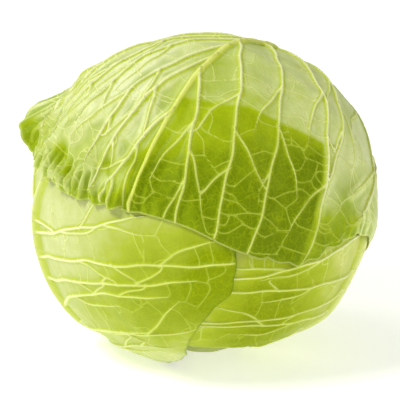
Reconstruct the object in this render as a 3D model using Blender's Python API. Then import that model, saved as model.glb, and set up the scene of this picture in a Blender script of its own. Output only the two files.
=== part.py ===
"""Cabbage head, standing on its cut stem.

A short stem carries a dense heart of packed inner leaves. Three wrapper leaves grow from the
stem and close over the heart: the right leaf lies next to it, the left leaf laps over the right
one, and the crown leaf comes up the back, over the top and down the front above them both.

The origin is the middle of the stem's cut face, +Z is up through the crown, -Y is the front and
+X the right. Lengths are in millimetres and angles in degrees until a mesh is written in metres.

Every leaf is drawn on the unit sphere round the head's centre. A place on it has a distance
(the angle from the leaf's middle) and a bearing (0 toward the leaf's tip, +90 toward its side).
"""
import math
import random

import bmesh
import bpy
import numpy as np
from mathutils import Vector
from mathutils.geometry import delaunay_2d_cdt
from mathutils.kdtree import KDTree

METRES = 0.001

# The head under the wrapper leaves.
CENTRE_HEIGHT = 75.0
HALF_WIDTH = 80.5
HALF_HEIGHT = 77.0
UNDERSIDE_FLATTENING = 0.085
UNDERSIDE_START = 38.0
UNDERSIDE_SPAN = 35.0
LEAF_BASE_HEIGHT = 6.0
# Broad swells of the head: latitude, azimuth, spread and height.
SWELLS = [(-36, 192, 24, 3.0), (-58, 220, 20, 3.5), (5, 180, 20, 2.0), (-64, 280, 15, -3.0),
          (-22, 350, 13, -2.5), (35, 10, 20, 1.5), (79, 90, 22, -4.5), (60, 150, 16, 1.0)]

# The leaves keep this angle from the downward axis, which leaves room for the stem.
STEM_ANGLE = 14.0

# The stem, as radius and height of its turned profile.
STEM_PROFILE = [(0.0, 0.0), (13.8, 0.0), (14.9, 0.9), (15.5, 2.6), (16.1, 4.2), (16.1, 5.7), (0.0, 5.7)]
STEM_SIDES = 40
STEM_GROOVES = 9
STEM_GROOVE_DEPTH = 0.35

# The heart of packed inner leaves.
HEART_GAP = 0.4
HEART_RIBS = 8
HEART_RIB_HEIGHT = 2.2
HEART_LAPS = 5
HEART_LAP_STEP = 1.3
HEART_SEGMENTS = 40
HEART_RINGS = 16

# The wrapper leaves.
BLADE = 0.9
LAYER_STEP = 2.9
LAYER_FADE = 20.0
# The midrib's width and height by its share of the way from the stem to the leaf's tip.
MIDRIB_WIDTH = [(0.0, 14.0), (0.15, 11.5), (0.35, 8.4), (0.55, 6.0), (0.7, 4.4), (0.85, 2.8), (1.0, 1.6)]
MIDRIB_HEIGHT = [(0.0, 3.2), (0.15, 3.1), (0.35, 2.5), (0.55, 2.0), (0.7, 1.6), (0.85, 1.1), (1.0, 0.5)]
# Width and height of a side vein and of a fork, at its start and at its end.
VEIN_WIDTH = (3.0, 1.9)
VEIN_HEIGHT = (1.0, 0.6)
FORK_WIDTH = (2.1, 1.5)
FORK_HEIGHT = (0.7, 0.45)
VEIN_WIGGLE = 5.0
FORK_WIGGLE = 7.0
# A ridge runs out at this share of its width from its crest, and the edge's waves at this depth.
RIDGE_SHARE = 0.6
RUFFLE_DEPTH = 14.0

# The mesh: steps along a vein, and the spacing of its points, the edge's points and the fill.
STEP = 1.0
VEIN_SPACING = 9.0
EDGE_SPACING = 5.2
FILL_SPACING = 9.8
COVERED_DEPTH = 12.0
THINNEST_FACE = 0.45


def smooth(x):
    """0 below 0, 1 above 1 and an even rise between."""
    x = np.clip(x, 0.0, 1.0)
    return x * x * (3.0 - 2.0 * x)


def through(knots, x, period=None):
    """A smooth curve through pairs of position and value, repeated after each period."""
    table = np.array(knots, float)
    at, value = table[:, 0], table[:, 1]
    if period:
        at = np.concatenate([at - period, at, at + period])
        value = np.tile(value, 3)
    else:
        x = np.clip(x, at[0], at[-1])
    slope = np.gradient(value, at)
    i = np.clip(np.searchsorted(at, x) - 1, 0, len(at) - 2)
    width = at[i + 1] - at[i]
    t = (x - at[i]) / width
    return ((1 + 2 * t) * (1 - t) ** 2 * value[i] + t * (1 - t) ** 2 * width * slope[i]
            + t * t * (3 - 2 * t) * value[i + 1] + t * t * (t - 1) * width * slope[i + 1])


def between(bearing, start, end):
    """1 on the bearings from start to end, fading over the last few degrees at each of them."""
    inside = ((bearing - start) % 360) < ((end - start) % 360)
    return inside * smooth(((bearing - start) % 360) / 10) * smooth(((end - bearing) % 360) / 10)


def unit(v):
    return v / np.linalg.norm(v, axis=-1, keepdims=True)


def heading_to(latitude, azimuth):
    lat, az = math.radians(latitude), math.radians(azimuth)
    return np.array([math.cos(lat) * math.cos(az), math.cos(lat) * math.sin(az), math.sin(lat)])


def head_radius(d):
    """Distance from the centre to the surface that the wrapper leaves lie on."""
    r = 1.0 / np.sqrt((d[:, 0] ** 2 + d[:, 1] ** 2) / HALF_WIDTH ** 2 + d[:, 2] ** 2 / HALF_HEIGHT ** 2)
    latitude = np.degrees(np.arcsin(np.clip(d[:, 2], -1, 1)))
    r *= 1.0 - UNDERSIDE_FLATTENING * smooth((-latitude - UNDERSIDE_START) / UNDERSIDE_SPAN)
    for lat, az, spread, height in SWELLS:
        angle = np.degrees(np.arccos(np.clip(d @ heading_to(lat, az), -1, 1)))
        r += height * np.exp(-(angle / spread) ** 2)
    flat = (CENTRE_HEIGHT - LEAF_BASE_HEIGHT) / np.maximum(-d[:, 2], 1e-6)
    return np.minimum(r, flat)


def tree_of(points):
    tree = KDTree(len(points))
    for i, p in enumerate(points):
        tree.insert(p, i)
    tree.balance()
    return tree


def nearest(tree, d):
    """Distance in millimetres along the head, and index, of the nearest point of a tree."""
    found = [tree.find(p) for p in d]
    return np.array([f[2] for f in found]) * HALF_WIDTH, np.array([f[1] for f in found], int)


class Leaf:
    """One wrapper leaf: its outline, its midrib and the veins that grow from it."""

    def __init__(self, base_azimuth, middle, reach, bow, veins, forks, waves, lifts, covers, seed):
        self.rng = random.Random(seed)
        self.covers = covers
        turn = math.radians(base_azimuth + 180)
        self.forward = np.array([math.cos(turn), math.sin(turn), 0.0])
        self.side = np.cross(self.forward, (0, 0, 1))
        m = math.radians(middle)
        self.middle = np.array([0, 0, math.cos(m)]) + math.sin(m) * self.forward
        self.tip = np.array([0, 0, -math.sin(m)]) + math.cos(m) * self.forward
        self.reach, self.bow, self.waves, self.lifts = reach, bow, waves, lifts
        bearings = np.arange(0, 360, 0.5)
        self.rim = self.place(self.margin(bearings), bearings)
        self.rim_tree = tree_of(self.rim)
        self.grow(veins, forks)

    def place(self, distance, bearing):
        a, b = np.radians(distance), np.radians(bearing)
        return (np.cos(a)[:, None] * self.middle + (np.sin(a) * np.cos(b))[:, None] * self.tip
                + (np.sin(a) * np.sin(b))[:, None] * self.side)

    def polar(self, d):
        """Distance and bearing of directions from the head's centre."""
        distance = np.degrees(np.arccos(np.clip(d @ self.middle, -1, 1)))
        return distance, np.degrees(np.arctan2(d @ self.side, d @ self.tip))

    def margin(self, bearing):
        """Distance of the leaf's edge on a bearing, with its scallops and waves."""
        edge = through(self.reach, np.asarray(bearing, float) % 360, 360)
        b = np.radians(bearing)
        for count, depth, _, start, end in self.waves:
            wave = np.abs(np.sin(b * count / 2)) - 0.6 + 0.3 * np.sin(b * count * 0.37)
            edge = edge + depth * between(bearing, start, end) * wave
        return edge

    def inside(self, d):
        """Distance in millimetres to the edge, negative beyond it."""
        distance, bearing = self.polar(d)
        away, _ = nearest(self.rim_tree, d)
        return np.where(distance < self.margin(bearing), away, -away)

    def covered(self, d):
        """True where another leaf lies over this one, well inside that leaf's edge."""
        hidden = np.zeros(len(d), bool)
        for leaf in self.covers:
            hidden |= leaf.inside(d) > COVERED_DEPTH
        return hidden

    def midrib_at(self, along):
        """Point of the midrib, an angle from the crown toward the tip and negative toward the base."""
        psi = np.radians(along)
        off = np.radians(through(self.bow, along))
        return ((np.cos(off) * np.cos(psi))[:, None] * np.array([0, 0, 1.0])
                + (np.cos(off) * np.sin(psi))[:, None] * self.forward + np.sin(off)[:, None] * self.side)

    def walk(self, start, ahead, turn_from, turn_to, length, side, wiggle, others):
        """A vein on the sphere: it starts at an angle to the way ahead, turns evenly and stops at
        the leaf's edge, under another leaf or where it meets another vein."""
        heading = unit(ahead - start * (ahead @ start))
        p = start
        across = np.cross(heading, p)
        flip = 1.0 if across @ self.side > 0 else -1.0
        a = math.radians(turn_from)
        h = unit(math.cos(a) * heading + side * flip * math.sin(a) * across)
        count = max(2, int(length / STEP))
        phase = [self.rng.uniform(0, 2 * math.pi) for _ in range(2)]
        points = [p]
        for i in range(count):
            s = STEP / HALF_WIDTH
            p, h = unit(math.cos(s) * p + math.sin(s) * h), unit(math.cos(s) * h - math.sin(s) * p)
            at = i * STEP
            turn = math.radians(turn_to - turn_from) / count * side
            turn += math.radians(wiggle) * (math.cos(at / 5.5 + phase[0]) / 5.5
                                            + 0.8 * math.cos(at / 2.6 + phase[1]) / 2.6)
            left = np.cross(h, p) * flip
            h = unit(math.cos(turn) * h + math.sin(turn) * left)
            if self.inside(p[None])[0] < 1.2 or self.covered(p[None])[0]:
                break
            points.append(p)
            if others is not None and at > 6:
                meet = others.find(p)
                if meet[2] * HALF_WIDTH < 1.6:
                    points.append(unit(np.array(meet[0])))
                    break
        return np.array(points)

    def grow(self, veins, forks):
        """The midrib, the side veins that leave it and the forks that leave those."""
        along = np.arange(-180 + STEM_ANGLE, 130, math.degrees(STEP / HALF_WIDTH))
        rib = self.midrib_at(along)
        rib = rib[self.inside(rib) > 1.0]
        run = np.linspace(0, 1, len(rib))
        self.lines = [(rib, through(MIDRIB_WIDTH, run), through(MIDRIB_HEIGHT, run), 0)]
        parents = []
        for psi, side, turn_from, turn_to, length in veins:
            here, ahead = self.midrib_at(np.array([psi, psi + 0.4]))
            others = tree_of(np.concatenate([line[0] for line in self.lines[1:]])) if parents else None
            line = self.walk(here, ahead, turn_from, turn_to, length, side, VEIN_WIGGLE, others)
            if len(line) < 9:
                continue
            parents.append((line, side))
            self.lines.append((line, np.linspace(*VEIN_WIDTH, len(line)),
                               np.linspace(*VEIN_HEIGHT, len(line)), 1))
        for line, side in parents:
            for share, fork_side, angle, grow in forks:
                i = int(share * (len(line) - 1))
                if len(line) < 30 or i + 2 >= len(line):
                    continue
                others = tree_of(np.concatenate([other[0] for other in self.lines if other[0] is not line]))
                angle = angle + self.rng.uniform(-8, 8)
                length = (grow + self.rng.uniform(-6, 6)) * min(1.0, len(line) / 80)
                fork = self.walk(line[i], line[i + 2], angle, angle * 0.35, length, side * fork_side,
                                 FORK_WIGGLE, others)
                if len(fork) > 9:
                    self.lines.append((fork, np.linspace(*FORK_WIDTH, len(fork)),
                                       np.linspace(*FORK_HEIGHT, len(fork)), 2))

        self.trees = []
        for order in range(3):
            lines = [line for line in self.lines if line[3] == order]
            points, widths, heights = (np.concatenate([line[k] for line in lines]) for k in range(3))
            self.trees.append((tree_of(points), widths, heights))

    def from_vein(self, d):
        """Distance in millimetres to the nearest vein or the midrib."""
        return np.min([nearest(tree, d)[0] for tree, _, _ in self.trees], axis=0)

    def relief(self, d):
        """Height of the midrib and veins above the blade."""
        height = np.zeros(len(d))
        for tree, widths, heights in self.trees:
            away, i = nearest(tree, d)
            x = np.clip(away / (widths[i] * RIDGE_SHARE), 0, 1)
            height = np.maximum(height, heights[i] * (1 - x * x) ** 2)
        return height

    def swell(self, d):
        """Broad rise that this leaf's midrib makes in the leaves over it."""
        tree, widths, heights = self.trees[0]
        away, i = nearest(tree, d)
        return heights[i] * np.exp(-(away / (widths[i] * 1.3 + 3)) ** 2) * smooth(1 + self.inside(d) / 12)

    def lift(self, d):
        """How far the leaf's corners and waved edge stand off the head."""
        distance, bearing = self.polar(d)
        height = np.zeros(len(d))
        for centre, spread, start, rise, power in self.lifts:
            off = (bearing - centre + 180) % 360 - 180
            window = smooth(1 - np.abs(off) / spread)
            share = np.clip((distance - start) / (self.margin(bearing) - start), 0, 1.1)
            height += rise * window * share ** power
        away = self.inside(d)
        for count, _, rise, start, end in self.waves:
            wave = 0.5 + 0.5 * np.sin(np.radians(bearing) * count * 0.8)
            height += rise * between(bearing, start, end) * wave * smooth(1 - away / RUFFLE_DEPTH)
        return height


def stacked(d, leaves_below):
    """Height of the leaves that lie under a leaf."""
    height = np.zeros(len(d))
    for leaf in leaves_below:
        height += LAYER_STEP * smooth(1 + leaf.inside(d) / LAYER_FADE) + leaf.swell(d)
    return height


def edge_bearings(leaf):
    """Bearings of the edge's points, at an even spacing that is wider under another leaf."""
    bearings = np.arange(0, 360, 0.25)
    rim = leaf.place(leaf.margin(bearings), bearings)
    wide = np.where(leaf.covered(rim), 2.0, 1.0) * EDGE_SPACING
    steps = np.linalg.norm(np.diff(rim, axis=0), axis=1) * HALF_WIDTH / wide[1:]
    run = np.concatenate([[0], np.cumsum(steps)])
    return np.interp(np.arange(round(run[-1])), run * round(run[-1]) / run[-1], bearings)


def leaf_points(leaf):
    """Mesh points of a leaf on the unit sphere: its edge, the crests of its veins, a row on each
    side of every vein, a row inside the edge and an even fill."""
    bearings = edge_bearings(leaf)
    points = list(leaf.place(leaf.margin(bearings), bearings))
    outline = list(range(len(points)))
    crests, rows = set(), []
    for line, widths, _, _ in leaf.lines:
        count = max(1, round(len(line) * STEP / VEIN_SPACING))
        last = None
        for k, i in enumerate(np.round(np.linspace(0, len(line) - 1, count + 1)).astype(int)):
            away = np.linalg.norm(np.array(points) - line[i], axis=1) * HALF_WIDTH
            close = int(np.argmin(away))
            if away[close] > (0.5 * VEIN_SPACING if k in (0, count) else 2.2):
                close = len(points)
                points.append(line[i])
            if last is not None and last != close:
                crests.add((min(last, close), max(last, close)))
            last = close
            ahead = line[min(i + 1, len(line) - 1)] - line[max(i - 1, 0)]
            across = unit(np.cross(ahead, line[i]))
            for reach in [1.0, 0.5] if widths[i] > 8 else [1.0]:
                off = across * max(reach * widths[i] * RIDGE_SHARE, 1.7) / HALF_WIDTH
                rows += [unit(line[i] + off), unit(line[i] - off)]
    chosen = np.array(points)
    inset = leaf.place(leaf.margin(bearings[::2]) - math.degrees(EDGE_SPACING / HALF_WIDTH), bearings[::2])
    for candidates, to_edge, gap in ((np.array(rows), 2.2, 1.6), (inset, 3.0, 4.0),
                                     (fill(leaf), FILL_SPACING * 0.5, FILL_SPACING * 0.62)):
        candidates = candidates[(leaf.inside(candidates) > to_edge) & (leaf.from_vein(candidates) > 1.4)]
        for p, hidden in zip(candidates, leaf.covered(candidates)):
            room = gap * (1.25 if hidden else 1.0)
            if np.min(np.sum((chosen - p) ** 2, axis=1)) * HALF_WIDTH ** 2 > room ** 2:
                chosen = np.vstack([chosen, p])
    return chosen, outline, sorted(crests)


def fill(leaf):
    """An even lattice of rings round the leaf's middle."""
    points = []
    for ring, distance in enumerate(np.arange(0, 168, math.degrees(FILL_SPACING * 0.88 / HALF_WIDTH))):
        count = max(1, round(2 * math.pi * HALF_WIDTH * math.sin(math.radians(distance)) / FILL_SPACING))
        bearings = (np.arange(count) + 0.5 * (ring % 2)) * 360 / count
        points.append(leaf.place(np.full(count, distance), bearings))
    return np.concatenate(points)


def flat_map(leaf, d):
    """Stereographic map of the sphere from the leaf's middle, which keeps angles true."""
    distance, bearing = leaf.polar(d)
    r = 2 * np.tan(np.radians(distance) / 2)
    return np.stack([r * np.sin(np.radians(bearing)), r * np.cos(np.radians(bearing))], axis=1)


def split_sheet(leaf):
    """The leaf's triangles. Points that would leave a face too thin are dropped one by one."""
    points, outline, crests = leaf_points(leaf)
    while True:
        flat = [Vector(p) for p in flat_map(leaf, points)]
        verts, _, faces, sources, _, _ = delaunay_2d_cdt(flat, crests, [outline], 1, 1e-7)
        plane = np.array([tuple(v) for v in verts])
        r = np.linalg.norm(plane, axis=1)
        d = leaf.place(np.degrees(2 * np.arctan(r / 2)), np.degrees(np.arctan2(plane[:, 0], plane[:, 1])))
        corners = d[np.array(faces)]
        sides = np.linalg.norm(corners - np.roll(corners, -1, axis=1), axis=2)
        square = np.cross(corners[:, 1] - corners[:, 0], corners[:, 2] - corners[:, 0])
        area = np.linalg.norm(square, axis=1)
        drop = set()
        for f in np.flatnonzero(area / sides.max(axis=1) * HALF_WIDTH < THINNEST_FACE):
            longest = int(np.argmax(sides[f]))
            for k in ((longest + 2) % 3, longest, (longest + 1) % 3):
                origin = sources[faces[f][k]]
                if origin and min(origin) >= len(outline):
                    drop.add(min(origin))
                    break
        if not drop:
            return d, faces
        gone = min(drop)
        linked = [a + b - gone for a, b in crests if gone in (a, b)]
        crests = [pair for pair in crests if gone not in pair]
        if len(linked) == 2:
            crests.append((min(linked), max(linked)))
        crests = [(a - (a > gone), b - (b > gone)) for a, b in crests]
        points = np.delete(points, gone, axis=0)


def make_leaf(name, leaf, below, colour, roughness):
    """A closed blade: its inner face, the same triangles lifted to its outer face, and its edge."""
    d, faces = split_sheet(leaf)
    base = head_radius(d) + stacked(d, below) + leaf.lift(d)
    inner = d * base[:, None]
    outer = d * (base + BLADE + leaf.relief(d))[:, None]
    bm = bmesh.new()
    number = bm.verts.layers.int.new("number")
    made = []
    for i, p in enumerate(inner):
        v = bm.verts.new((p + (0, 0, CENTRE_HEIGHT)) * METRES)
        v[number] = i
        made.append(v)
    for face in faces:
        bm.faces.new([made[i] for i in face])
    bmesh.ops.recalc_face_normals(bm, faces=bm.faces)
    grown = bmesh.ops.extrude_face_region(bm, geom=bm.faces[:], use_keep_orig=True)
    for v in (g for g in grown["geom"] if isinstance(g, bmesh.types.BMVert)):
        v.co = (outer[v[number]] + (0, 0, CENTRE_HEIGHT)) * METRES
    bmesh.ops.delete(bm, geom=[v for v in bm.verts if not v.link_faces], context="VERTS")
    bmesh.ops.triangulate(bm, faces=bm.faces)
    bmesh.ops.recalc_face_normals(bm, faces=bm.faces)
    return keep_mesh(name, bm, colour, roughness)


def keep_mesh(name, bm, colour, roughness):
    """Write a bmesh as a named object with its own material."""
    mesh = bpy.data.meshes.new(name)
    bm.to_mesh(mesh)
    bm.free()
    material = bpy.data.materials.new(name)
    material.use_nodes = True
    shader = material.node_tree.nodes["Principled BSDF"]
    shader.inputs["Base Color"].default_value = (*colour, 1.0)
    shader.inputs["Roughness"].default_value = roughness
    shader.inputs["Metallic"].default_value = 0.0
    mesh.materials.append(material)
    obj = bpy.data.objects.new(name, mesh)
    bpy.context.scene.collection.objects.link(obj)
    return obj


def make_stem():
    """Turned stub with shallow grooves down its side and a flat cut face."""
    bm = bmesh.new()
    profile = [bm.verts.new((r * METRES, 0, z * METRES)) for r, z in STEM_PROFILE]
    edges = [bm.edges.new(pair) for pair in zip(profile, profile[1:])]
    bmesh.ops.spin(bm, geom=profile + edges, cent=(0, 0, 0), axis=(0, 0, 1), angle=2 * math.pi,
                   steps=STEM_SIDES, use_merge=True)
    bmesh.ops.remove_doubles(bm, verts=bm.verts, dist=1e-6)
    for v in bm.verts:
        r = math.hypot(v.co.x, v.co.y) / METRES
        if r > 13:
            azimuth = math.atan2(v.co.y, v.co.x)
            turn = STEM_GROOVES * azimuth + 0.8 * math.sin(azimuth)
            groove = STEM_GROOVE_DEPTH * (0.5 - 0.5 * math.cos(turn))
            v.co.x *= (r - groove) / r
            v.co.y *= (r - groove) / r
    bmesh.ops.triangulate(bm, faces=bm.faces)
    bmesh.ops.recalc_face_normals(bm, faces=bm.faces)
    return keep_mesh("stem", bm, (0.62, 0.66, 0.36), 0.6)


def make_heart():
    """Packed inner leaves: laps round the sides, and ribs that spread from the stem."""
    bm = bmesh.new()
    bmesh.ops.create_uvsphere(bm, u_segments=HEART_SEGMENTS, v_segments=HEART_RINGS, radius=1.0)
    d = unit(np.array([tuple(v.co) for v in bm.verts]))
    latitude = np.degrees(np.arcsin(np.clip(d[:, 2], -1, 1)))
    azimuth = np.degrees(np.arctan2(d[:, 1], d[:, 0]))
    turn = 360 / HEART_RIBS
    off = (azimuth - 20 + turn / 2) % turn - turn / 2
    across = np.radians(off) * np.cos(np.radians(latitude)) * HALF_WIDTH
    down = smooth((latitude + 84) / 8) * smooth((5 - latitude) / 60)
    rib = HEART_RIB_HEIGHT * down * np.exp(-(across / 5.0) ** 2)
    lap = ((azimuth + 30 * np.sin(np.radians(latitude))) % (360 / HEART_LAPS)) / (360 / HEART_LAPS)
    laps = HEART_LAP_STEP * (1 - lap) * smooth((84 - np.abs(latitude)) / 30)
    top = HEART_RIB_HEIGHT + HEART_LAP_STEP
    r = head_radius(d) - HEART_GAP - (top - rib - laps) * smooth((latitude + 84) / 8)
    for v, place in zip(bm.verts, d * r[:, None] + (0, 0, CENTRE_HEIGHT)):
        v.co = place * METRES
    bmesh.ops.triangulate(bm, faces=bm.faces)
    bmesh.ops.recalc_face_normals(bm, faces=bm.faces)
    return keep_mesh("heart", bm, (0.60, 0.68, 0.28), 0.5)


for old in list(bpy.data.objects):
    bpy.data.objects.remove(old)

# Side veins: where they leave the midrib as an angle from the crown (positive toward the tip),
# side, first and last angle to the midrib, and length.
crown = Leaf(
    base_azimuth=63, middle=0,
    reach=[(0, 77), (15, 77), (30, 76), (45, 73.5), (54, 73), (60, 71), (65, 66.5), (70, 60.5), (77, 53.5),
           (89, 49.5), (102, 56), (115, 70), (130, 92), (145, 118), (158, 145), (171, 162), (180, 166), (189, 162),
           (202, 152), (214, 142), (226, 131), (238, 120), (248, 110), (257, 103), (266, 96), (275, 92.5),
           (285, 93), (300, 96), (312, 93), (324, 88), (338, 81), (350, 78)],
    bow=[(-180, 0), (-120, -3), (-60, -9.5), (0, -12.5), (45, -9), (90, 0), (140, 8)],
    veins=[(26, -1, 24, 11, 76), (-1, -1, 33, 28, 118), (-23, -1, 38, 46, 150), (-33, -1, 48, 66, 152),
           (-41, -1, 70, 66, 112), (-52, -1, 78, 70, 118), (-68, -1, 66, 84, 125), (-90, -1, 68, 80, 100),
           (-110, -1, 62, 72, 80), (-130, -1, 52, 58, 50),
           (44, 1, 22, 22, 50), (16, 1, 25, 10, 84), (8, 1, 40, 23, 88), (-5, 1, 48, 27, 92),
           (-17, 1, 46, 36, 120), (-30, 1, 46, 54, 128), (-50, 1, 60, 62, 95), (-72, 1, 62, 66, 80),
           (-94, 1, 64, 66, 70), (-114, 1, 58, 60, 50), (-132, 1, 48, 52, 34)],
    forks=[(0.40, -1, 30, 40), (0.58, 1, 34, 34), (0.74, -1, 32, 30)],
    waves=[(52, 1.1, 2.2, 350, 74), (46, 1.2, 0.8, 258, 322), (30, 0.8, 1.2, 74, 258)],
    lifts=[(66.5, 12, 42, 12.0, 2.8), (82, 14, 34, 2.0, 1.5)], covers=[], seed=11)
left = Leaf(
    base_azimuth=195, middle=-90,
    reach=[(0, 100), (25, 98), (45, 93), (65, 88), (80, 85.5), (96, 85), (104, 83.5), (111, 78.5),
           (120, 75), (130, 73), (142, 74.5), (152, 73.5), (162, 71), (172, 75.5), (180, 76.3), (188, 76), (202, 75),
           (218, 76), (236, 79), (255, 81), (275, 83), (295, 86), (315, 91), (335, 97)],
    bow=[(-180, 0), (-130, -2.5), (-100, -1.5), (-85, 1.5), (-72, 7), (-58, 14), (-20, 26), (30, 30)],
    veins=[(-74, 1, 52, 46, 80), (-97, 1, 62, 60, 84), (-92, 1, 84, 36, 100), (-106, 1, 72, 100, 128),
           (-114, 1, 80, 108, 104), (-126, 1, 62, 120, 92), (-133, 1, 82, 122, 90), (-145, 1, 70, 118, 66),
           (-60, -1, 50, 44, 70), (-76, -1, 58, 54, 84), (-89, -1, 66, 66, 96), (-102, -1, 76, 84, 100),
           (-115, -1, 80, 98, 100), (-127, -1, 78, 108, 92), (-140, -1, 70, 104, 74)],
    forks=[(0.36, 1, 28, 34), (0.55, -1, 32, 36), (0.74, 1, 34, 26)],
    waves=[(40, 0.4, 0.5, 60, 200), (34, 0.8, 0.9, 200, 330)],
    lifts=[(158, 26, 46, 6.5, 1.6)], covers=[crown], seed=23)
right = Leaf(
    base_azimuth=340, middle=-90,
    reach=[(0, 98), (30, 95), (60, 92), (85, 92), (105, 90), (122, 86), (138, 80), (152, 75), (165, 74),
           (175, 76.3), (184, 76.3), (196, 68), (208, 63), (218, 64.5), (223, 72), (227, 80), (233, 86),
           (244, 93), (262, 99), (285, 99), (310, 97), (335, 98)],
    bow=[(-180, 0), (-120, 1.5), (-85, 1.0), (-60, -3), (-20, -8), (30, -10)],
    veins=[(-64, -1, 58, 50, 80), (-79, -1, 84, 76, 96), (-93, -1, 100, 101, 110), (-110, -1, 84, 110, 112),
           (-118, -1, 90, 124, 108), (-128, -1, 84, 134, 92), (-140, -1, 76, 138, 74),
           (-60, 1, 52, 46, 76), (-75, 1, 60, 56, 90), (-89, 1, 70, 68, 104), (-102, 1, 78, 88, 106),
           (-115, 1, 80, 102, 104), (-128, 1, 76, 108, 90), (-141, 1, 68, 104, 70)],
    forks=[(0.42, -1, 30, 34), (0.62, 1, 30, 30)],
    waves=[(44, 0.6, 0.5, 190, 226), (36, 0.7, 0.6, 30, 170)],
    lifts=[(215, 22, 44, 1.6, 1.6)], covers=[crown, left], seed=37)

make_stem()
make_heart()
make_leaf("leaf_right", right, [], (0.52, 0.66, 0.16), 0.42)
make_leaf("leaf_left", left, [right], (0.45, 0.60, 0.12), 0.42)
make_leaf("leaf_crown", crown, [right, left], (0.36, 0.52, 0.06), 0.4)
for obj in bpy.context.scene.objects:
    print(obj.name, len(obj.data.polygons), "triangles")
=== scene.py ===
"""Looks of the cabbage head: its cut stem, its heart and its three wrapper leaves.

Lengths are in millimetres and angles in degrees until a mesh is written in metres. A place on the
head is given by its latitude and azimuth round the head's centre: -Y is the front, +X the right.
Where many places are worked on at once, d holds their directions from that centre.
"""
import math
import random

import bmesh
import bpy
import numpy as np
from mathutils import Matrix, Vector, noise
from mathutils.kdtree import KDTree


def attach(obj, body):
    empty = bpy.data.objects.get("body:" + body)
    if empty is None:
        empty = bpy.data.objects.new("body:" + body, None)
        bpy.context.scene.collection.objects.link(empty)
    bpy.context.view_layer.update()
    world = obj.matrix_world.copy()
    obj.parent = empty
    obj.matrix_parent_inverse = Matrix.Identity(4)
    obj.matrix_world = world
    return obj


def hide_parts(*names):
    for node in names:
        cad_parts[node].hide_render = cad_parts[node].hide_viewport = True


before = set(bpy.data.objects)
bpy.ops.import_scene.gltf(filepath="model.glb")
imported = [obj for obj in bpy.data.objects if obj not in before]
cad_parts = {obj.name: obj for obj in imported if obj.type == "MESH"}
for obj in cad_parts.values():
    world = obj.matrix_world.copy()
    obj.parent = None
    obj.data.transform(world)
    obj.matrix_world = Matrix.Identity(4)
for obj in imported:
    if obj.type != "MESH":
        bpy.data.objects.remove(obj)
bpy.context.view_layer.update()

# ---------------------------------------------------------------------------------------------
# Stem
# The stub of the stalk, cut straight through with a knife just under the head. It is firm, pale
# and fibrous, with a greenish skin and a ring of vessels that shows on the cut face.

METRES = 0.001
# Radius and height, from the middle of the cut face round its edge and up to the hidden top.
STEM_PROFILE = [(0.0, 0.0), (7.0, 0.0), (13.8, 0.0), (14.6, 0.35), (14.9, 0.9), (15.5, 2.6),
                (16.1, 4.2), (16.1, 5.7), (0.0, 5.7)]
STEM_SIDES = 160
STEM_GROOVES = 9
STEM_GROOVE_DEPTH = 0.35
STEM_FIBRES = 14
STEM_FIBRE_DEPTH = 0.1
# The cut face is even up to this radius, and the grooves have their full depth this much past it.
STEM_FACE_RADIUS = 13.0
STEM_FACE_FADE = 0.8
# Radii between which each band of the cut face comes in or goes out.
VESSELS_COME_IN = 7.4, 8.6
VESSELS_GO_OUT = 11.4, 9.8
RIM_COMES_IN = 12.9, 13.6
RIM_GOES_OUT = 14.9, 14.2
SKIN_COMES_IN = 13.9, 15.0


def linear(*seen):
    """Red, green and blue as they are seen, 0 to 255, turned into the shader's linear values."""
    return tuple(((c / 255 + 0.055) / 1.055) ** 2.4 if c > 10 else c / 3295 for c in seen) + (1.0,)


class Wire:
    """A socket in a material. An expression on wires and numbers adds its Math nodes."""

    def __init__(self, tree, socket=None):
        self.tree, self.socket = tree, socket

    def node(self, kind, settings=None, inputs=None, out=0):
        """A new node with its settings and then its inputs. Returns a wire from one output."""
        made = self.tree.nodes.new("ShaderNode" + kind)
        for name, value in (settings or {}).items():
            setattr(made, name, value)
        for name, value in (inputs or {}).items():
            if isinstance(value, Wire):
                self.tree.links.new(value.socket, made.inputs[name])
            else:
                made.inputs[name].default_value = value
        return Wire(self.tree, made.outputs[out])

    def maths(self, operation, *values, clamp=False):
        settings = {"operation": operation, "use_clamp": clamp}
        return self.node("Math", settings, dict(enumerate(values)))

    def __add__(self, other):
        return self.maths("ADD", self, other)

    def __sub__(self, other):
        return self.maths("SUBTRACT", self, other)

    def __rsub__(self, other):
        return self.maths("SUBTRACT", other, self)

    def __mul__(self, other):
        return self.maths("MULTIPLY", self, other)

    __radd__, __rmul__ = __add__, __mul__

    def step(self, start, end):
        """0 up to start, 1 from end on and a smooth rise between. Start may lie above end."""
        return self.node("MapRange", {"interpolation_type": "SMOOTHSTEP"},
                         {"Value": self, "From Min": start, "From Max": end})

    def ramp(self, start, end):
        """0 up to start, 1 from end on and a straight rise between."""
        return self.node("MapRange", {}, {"Value": self, "From Min": start, "From Max": end})

    def blend(self, a, b):
        """Colour a where this wire is 0 and b where it is 1."""
        return self.node("Mix", {"data_type": "RGBA"}, {0: self, 6: a, 7: b}, out=2)

    def value(self, name):
        """A number stored on the mesh's points."""
        return self.node("Attribute", {"attribute_name": name}, out="Fac")

    def place(self):
        """Object coordinates, in metres."""
        return self.node("TexCoord", out="Object")

    def cloud(self, size, detail=2.0):
        """Soft noise on the object's own coordinates, with blotches of that size in millimetres."""
        return self.node("TexNoise", {}, {"Vector": self.place(), "Scale": 1 / (size * METRES),
                                          "Detail": detail})


def new_finish(name, **constants):
    """A material with constants on its shader's sockets. Returns it with a wire to build from."""
    material = bpy.data.materials.new(name)
    material.use_nodes = True
    shader = material.node_tree.nodes["Principled BSDF"]
    for socket, value in constants.items():
        shader.inputs[socket.replace("_", " ")].default_value = value
    return material, Wire(material.node_tree)


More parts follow.
